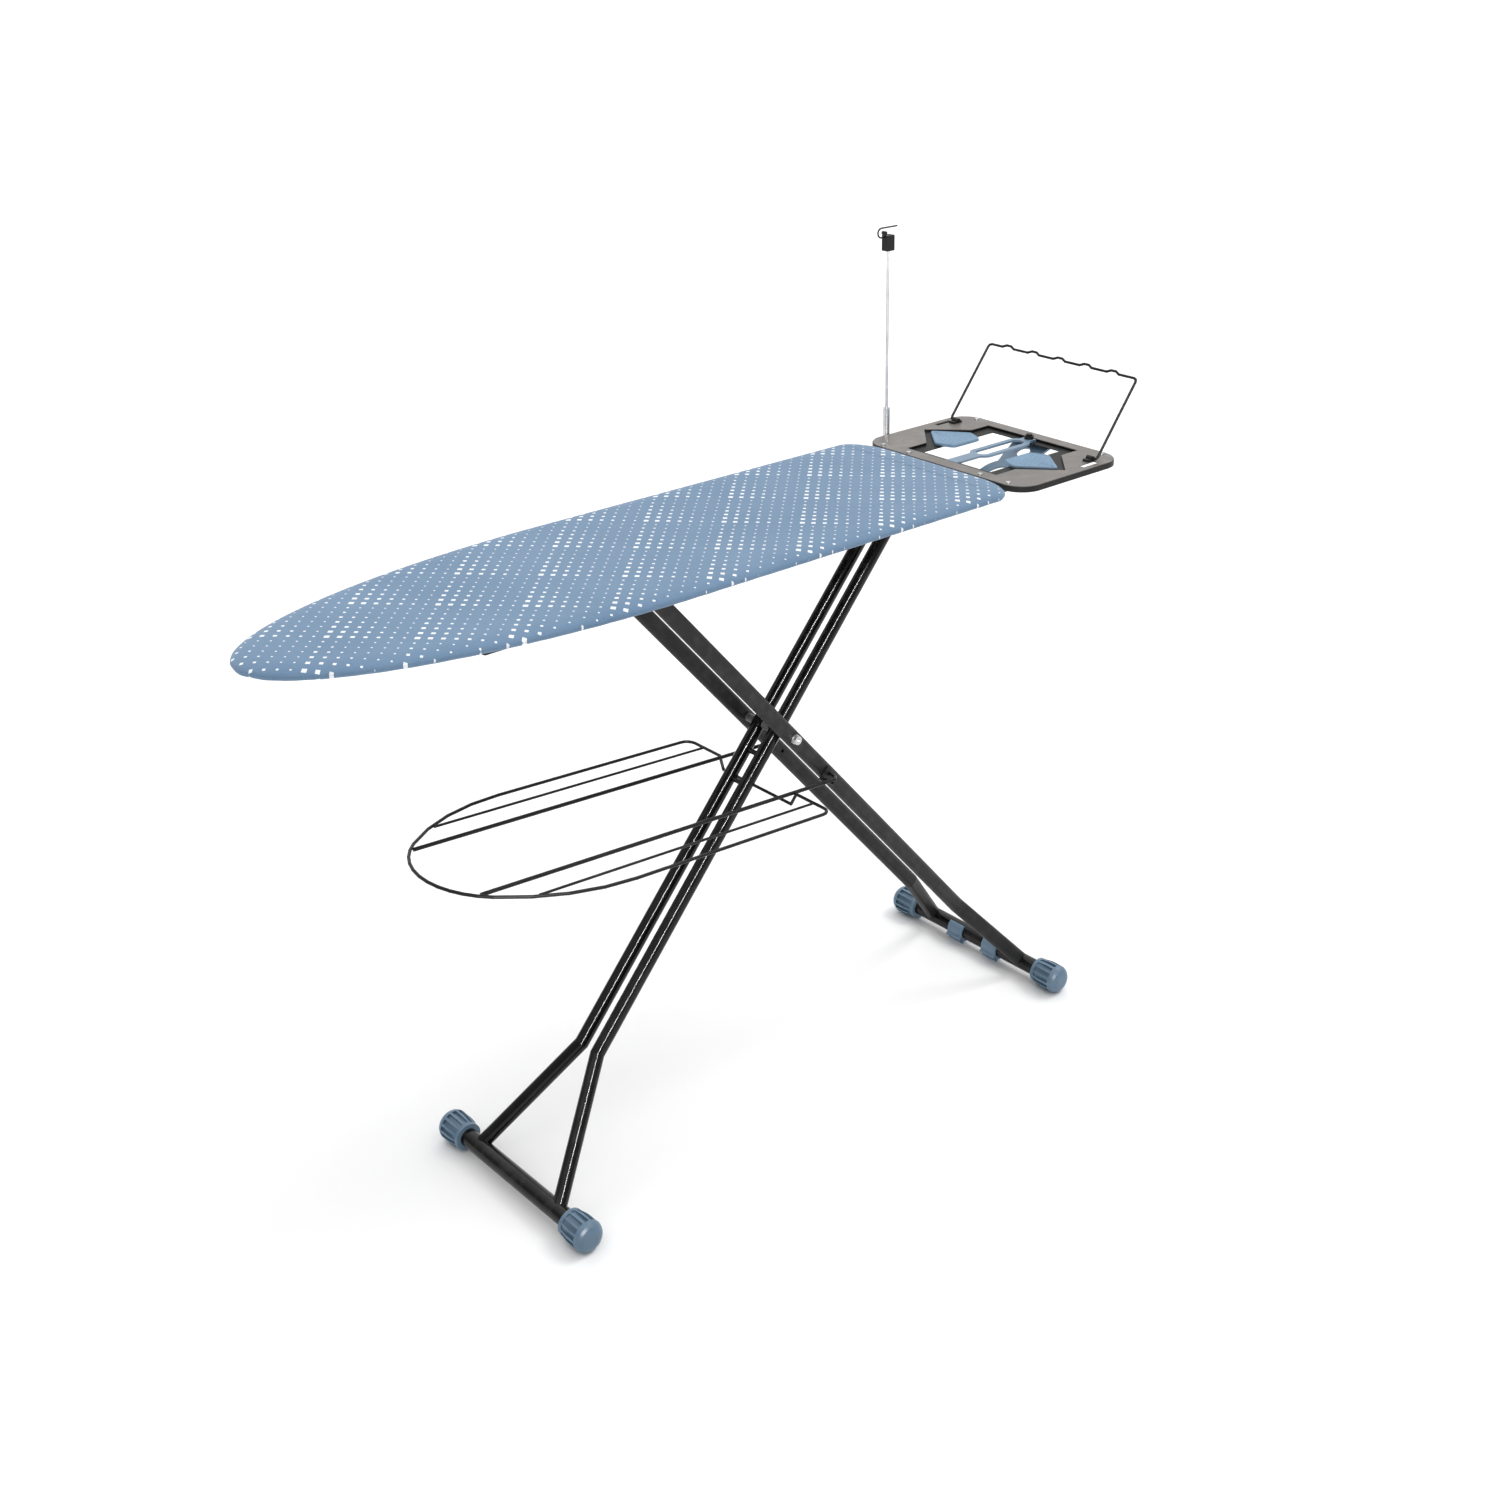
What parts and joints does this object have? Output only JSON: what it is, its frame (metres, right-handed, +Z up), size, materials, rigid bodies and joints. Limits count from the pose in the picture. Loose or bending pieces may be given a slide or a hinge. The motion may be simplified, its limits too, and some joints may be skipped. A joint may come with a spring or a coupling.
{
  "type": "folding ironing board",
  "caption": "Folding ironing board with padded cover, crossed tube legs, iron rest, hanging rail, flex holder, storage hook and under-board garment rack.",
  "frame": {"origin": "centre of the standing board's bounding box, on the floor", "axes": "X runs from the rounded nose (-) to the iron rest (+), Y across the board, Z up"},
  "size_m": [1.5249, 0.398, 1.2964],
  "materials": {
    "cover_cotton": "woven cotton with a printed dot pattern",
    "pad_felt": "soft felt",
    "black_enamel": "satin powder coat",
    "black_gloss": "gloss powder coat",
    "black_wire": "semi-gloss plastic dip",
    "pewter_enamel": "satin enamel",
    "black_plastic": "fine grain",
    "blue_plastic": "satin moulded",
    "blue_silicone": "matt, dimpled",
    "zinc": "zinc plated",
    "grey_nylon": "moulded nylon"
  },
  "bodies": {
    "board": {"cover": "cover_cotton", "pad": "pad_felt", "mesh_top": "black_enamel", "edge_frame": "black_enamel", "cross_members": "black_enamel", "hinge_bracket": "black_enamel", "slide_rails": "black_enamel", "tray_supports": "black_enamel", "tray_plate": "pewter_enamel", "tray_trim": "black_plastic", "tray_pan": "black_plastic", "rest_pad_left": "blue_silicone", "rest_pad_right": "blue_silicone", "tray_rivets": "zinc", "hook_bar": "blue_plastic", "hook_knob": "black_plastic", "hook_lugs": "black_plastic", "hook_pin": "zinc", "rail_clips": "black_plastic", "post_base": "black_plastic"},
    "inner_leg": {"inner_tube_left": "black_gloss", "inner_tube_right": "black_gloss", "inner_foot_bar": "black_gloss", "inner_cap_left": "blue_plastic", "inner_cap_right": "blue_plastic", "inner_hinge_pin": "zinc", "pivot_bolt": "zinc", "pivot_nut": "zinc", "pivot_washers": "zinc", "pivot_spacers": "grey_nylon", "inner_ties": "black_gloss"},
    "outer_leg": {"outer_tube_left": "black_enamel", "outer_tube_right": "black_enamel", "outer_foot_bar": "black_gloss", "outer_cap_left": "blue_plastic", "outer_cap_right": "blue_plastic", "slide_pins": "zinc", "slide_washers": "grey_nylon", "leg_clips": "blue_plastic", "rack_stops": "black_enamel"},
    "rack": {"rack_rim": "black_wire", "rack_thin_wires": "black_wire", "rack_load_left": "black_wire", "rack_load_right": "black_wire"},
    "hanging_rail": {"hanging_rail": "black_wire"},
    "storage_hook": {"storage_hook": "blue_plastic"},
    "flex_holder": {"flex_post": "zinc", "flex_rod": "zinc", "flex_block": "black_plastic", "flex_clip": "black_wire"},
    "height_lever": {"lever_shaft": "zinc", "lock_pawls": "zinc", "lever_arm": "zinc", "lever_grip": "blue_plastic"}
  },
  "joints": [
    {"name": "leg_fold", "type": "hinge", "parent": "board", "child": "inner_leg", "pos_m": [0.35761, 0, 0.902], "axis": [0, 1, 0], "range_deg": [0, 49.11]},
    {"name": "leg_cross", "type": "hinge", "parent": "inner_leg", "child": "outer_leg", "pos_m": [0.09292, 0, 0.59638], "axis": [0, 1, 0], "range_deg": [-98.22, 0]},
    {"name": "rack_fold", "type": "hinge", "parent": "outer_leg", "child": "rack", "pos_m": [0.16428, 0, 0.51399], "axis": [0, 1, 0], "range_deg": [0, 46.07]},
    {"name": "rail_fold", "type": "hinge", "parent": "board", "child": "hanging_rail", "pos_m": [0.66261, 0, 0.945], "axis": [0, -1, 0], "range_deg": [0, 128.7]},
    {"name": "hook_swing", "type": "hinge", "parent": "board", "child": "storage_hook", "pos_m": [0.70061, 0, 0.934], "axis": [0, -1, 0], "range_deg": [0, 154]},
    {"name": "flex_fold", "type": "hinge", "parent": "board", "child": "flex_holder", "pos_m": [0.52861, 0.187, 0.92], "axis": [0, -1, 0], "range_deg": [0, 90]},
    {"name": "lever_lift", "type": "hinge", "parent": "board", "child": "height_lever", "pos_m": [-0.13676, 0, 0.922], "axis": [0, -1, 0], "range_deg": [0, 8]}
  ],
  "couplings": [
    {"joint": "leg_cross", "follows": "leg_fold", "ratio": -2},
    {"joint": "rack_fold", "follows": "leg_fold", "ratio": 0.9379}
  ]
}
